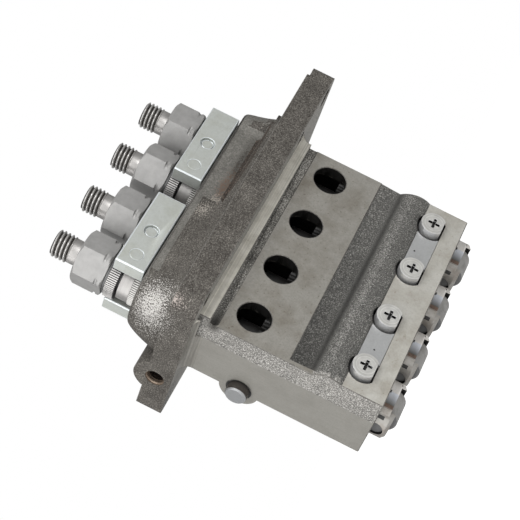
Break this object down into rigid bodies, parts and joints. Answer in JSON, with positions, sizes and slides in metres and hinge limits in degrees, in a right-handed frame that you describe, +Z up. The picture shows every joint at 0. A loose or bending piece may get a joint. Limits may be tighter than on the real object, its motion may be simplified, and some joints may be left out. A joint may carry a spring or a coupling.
{
  "type": "diesel injection pump",
  "caption": "In-line diesel injection pump with a cast flanged housing, hexagon pipe unions with lock plates, a control rack and roller tappets.",
  "frame": {"origin": "on the flange's seat plane, on the plungers' line, at the middle of the row", "axes": "+Z up along the plungers towards the pipe unions, X along the row, the hole face looks along -Y"},
  "size_m": [0.1513, 0.077, 0.1564],
  "materials": {
    "cast_iron": "rough cast",
    "holder_steel": "satin",
    "hardened_steel": "ground",
    "zinc_steel": "zinc plated",
    "spring_steel": "dark",
    "copper_gasket": "soft",
    "black_rubber": "matt"
  },
  "bodies": {
    "housing": {"pump_housing": "cast_iron", "barrel_1": "holder_steel", "barrel_2": "holder_steel", "barrel_3": "holder_steel", "barrel_4": "holder_steel", "delivery_valve_holder_1": "holder_steel", "delivery_valve_holder_2": "holder_steel", "delivery_valve_holder_3": "holder_steel", "delivery_valve_holder_4": "holder_steel", "delivery_valve_spring_1": "spring_steel", "delivery_valve_spring_2": "spring_steel", "delivery_valve_spring_3": "spring_steel", "delivery_valve_spring_4": "spring_steel", "plunger_spring_1": "spring_steel", "plunger_spring_2": "spring_steel", "plunger_spring_3": "spring_steel", "plunger_spring_4": "spring_steel", "valve_seats": "hardened_steel", "valve_gaskets": "copper_gasket", "barrel_o_rings": "black_rubber", "upper_spring_seats": "hardened_steel", "front_lock_plate_1": "zinc_steel", "front_lock_plate_2": "zinc_steel", "rear_lock_plate_1": "zinc_steel", "rear_lock_plate_2": "zinc_steel", "lock_plate_screws": "zinc_steel", "lock_plate_pins": "zinc_steel", "guide_pins": "hardened_steel", "guide_lock_strips": "hardened_steel"},
    "rack": {"control_rack": "hardened_steel"},
    "sleeve_1": {"control_sleeve_1": "hardened_steel"},
    "plunger_body_1": {"plunger_1": "hardened_steel"},
    "tappet_body_1": {"tappet_1": "hardened_steel", "lower_spring_seat_1": "hardened_steel", "roller_pin_1": "hardened_steel"},
    "roller_body_1": {"roller_1": "hardened_steel"},
    "valve_1": {"delivery_valve_1": "hardened_steel"},
    "sleeve_2": {"control_sleeve_2": "hardened_steel"},
    "plunger_body_2": {"plunger_2": "hardened_steel"},
    "tappet_body_2": {"tappet_2": "hardened_steel", "lower_spring_seat_2": "hardened_steel", "roller_pin_2": "hardened_steel"},
    "roller_body_2": {"roller_2": "hardened_steel"},
    "valve_2": {"delivery_valve_2": "hardened_steel"},
    "sleeve_3": {"control_sleeve_3": "hardened_steel"},
    "plunger_body_3": {"plunger_3": "hardened_steel"},
    "tappet_body_3": {"tappet_3": "hardened_steel", "lower_spring_seat_3": "hardened_steel", "roller_pin_3": "hardened_steel"},
    "roller_body_3": {"roller_3": "hardened_steel"},
    "valve_3": {"delivery_valve_3": "hardened_steel"},
    "sleeve_4": {"control_sleeve_4": "hardened_steel"},
    "plunger_body_4": {"plunger_4": "hardened_steel"},
    "tappet_body_4": {"tappet_4": "hardened_steel", "lower_spring_seat_4": "hardened_steel", "roller_pin_4": "hardened_steel"},
    "roller_body_4": {"roller_4": "hardened_steel"},
    "valve_4": {"delivery_valve_4": "hardened_steel"}
  },
  "joints": [
    {"name": "rack_slide", "type": "slide", "parent": "housing", "child": "rack", "axis": [-1, 0, 0], "range_m": [-0.0035, 0.0065]},
    {"name": "sleeve_turn_1", "type": "hinge", "parent": "housing", "child": "sleeve_1", "pos_m": [0.042, 0, -0.0258], "axis": [0, 0, 1], "range_deg": [-19.24, 35.56]},
    {"name": "sleeve_turn_2", "type": "hinge", "parent": "housing", "child": "sleeve_2", "pos_m": [0.014, 0, -0.0258], "axis": [0, 0, 1], "range_deg": [-19.24, 35.56]},
    {"name": "sleeve_turn_3", "type": "hinge", "parent": "housing", "child": "sleeve_3", "pos_m": [-0.014, 0, -0.0258], "axis": [0, 0, 1], "range_deg": [-19.24, 35.56]},
    {"name": "sleeve_turn_4", "type": "hinge", "parent": "housing", "child": "sleeve_4", "pos_m": [-0.042, 0, -0.0258], "axis": [0, 0, 1], "range_deg": [-19.24, 35.56]},
    {"name": "tappet_lift_1", "type": "slide", "parent": "housing", "child": "tappet_body_1", "axis": [0, 0, 1], "range_m": [0, 0.008], "stiffness_N_per_m": 4000, "springref_m": -0.004, "deforming": ["plunger_spring_1"]},
    {"name": "roller_spin_1", "type": "hinge", "parent": "tappet_body_1", "child": "roller_body_1", "pos_m": [0.042, 0, -0.0813], "axis": [1, 0, 0], "continuous": true},
    {"name": "plunger_slide_1", "type": "slide", "parent": "sleeve_1", "child": "plunger_body_1", "axis": [0, 0, 1], "range_m": [0, 0.008]},
    {"name": "valve_lift_1", "type": "slide", "parent": "housing", "child": "valve_1", "axis": [0, 0, 1], "range_m": [0, 0.0025], "stiffness_N_per_m": 800, "springref_m": -0.004, "deforming": ["delivery_valve_spring_1"]},
    {"name": "tappet_lift_2", "type": "slide", "parent": "housing", "child": "tappet_body_2", "axis": [0, 0, 1], "range_m": [0, 0.008], "stiffness_N_per_m": 4000, "springref_m": -0.004, "deforming": ["plunger_spring_2"]},
    {"name": "roller_spin_2", "type": "hinge", "parent": "tappet_body_2", "child": "roller_body_2", "pos_m": [0.014, 0, -0.0813], "axis": [1, 0, 0], "continuous": true},
    {"name": "plunger_slide_2", "type": "slide", "parent": "sleeve_2", "child": "plunger_body_2", "axis": [0, 0, 1], "range_m": [0, 0.008]},
    {"name": "valve_lift_2", "type": "slide", "parent": "housing", "child": "valve_2", "axis": [0, 0, 1], "range_m": [0, 0.0025], "stiffness_N_per_m": 800, "springref_m": -0.004, "deforming": ["delivery_valve_spring_2"]},
    {"name": "tappet_lift_3", "type": "slide", "parent": "housing", "child": "tappet_body_3", "axis": [0, 0, 1], "range_m": [0, 0.008], "stiffness_N_per_m": 4000, "springref_m": -0.004, "deforming": ["plunger_spring_3"]},
    {"name": "roller_spin_3", "type": "hinge", "parent": "tappet_body_3", "child": "roller_body_3", "pos_m": [-0.014, 0, -0.0813], "axis": [1, 0, 0], "continuous": true},
    {"name": "plunger_slide_3", "type": "slide", "parent": "sleeve_3", "child": "plunger_body_3", "axis": [0, 0, 1], "range_m": [0, 0.008]},
    {"name": "valve_lift_3", "type": "slide", "parent": "housing", "child": "valve_3", "axis": [0, 0, 1], "range_m": [0, 0.0025], "stiffness_N_per_m": 800, "springref_m": -0.004, "deforming": ["delivery_valve_spring_3"]},
    {"name": "tappet_lift_4", "type": "slide", "parent": "housing", "child": "tappet_body_4", "axis": [0, 0, 1], "range_m": [0, 0.008], "stiffness_N_per_m": 4000, "springref_m": -0.004, "deforming": ["plunger_spring_4"]},
    {"name": "roller_spin_4", "type": "hinge", "parent": "tappet_body_4", "child": "roller_body_4", "pos_m": [-0.042, 0, -0.0813], "axis": [1, 0, 0], "continuous": true},
    {"name": "plunger_slide_4", "type": "slide", "parent": "sleeve_4", "child": "plunger_body_4", "axis": [0, 0, 1], "range_m": [0, 0.008]},
    {"name": "valve_lift_4", "type": "slide", "parent": "housing", "child": "valve_4", "axis": [0, 0, 1], "range_m": [0, 0.0025], "stiffness_N_per_m": 800, "springref_m": -0.004, "deforming": ["delivery_valve_spring_4"]}
  ],
  "couplings": [
    {"joint": "sleeve_turn_1", "follows": "rack_slide", "rad_per_m": 94.938},
    {"joint": "sleeve_turn_2", "follows": "rack_slide", "rad_per_m": 94.938},
    {"joint": "sleeve_turn_3", "follows": "rack_slide", "rad_per_m": 94.938},
    {"joint": "sleeve_turn_4", "follows": "rack_slide", "rad_per_m": 94.938},
    {"joint": "plunger_slide_1", "follows": "tappet_lift_1", "ratio": 1},
    {"joint": "plunger_slide_2", "follows": "tappet_lift_2", "ratio": 1},
    {"joint": "plunger_slide_3", "follows": "tappet_lift_3", "ratio": 1},
    {"joint": "plunger_slide_4", "follows": "tappet_lift_4", "ratio": 1}
  ]
}
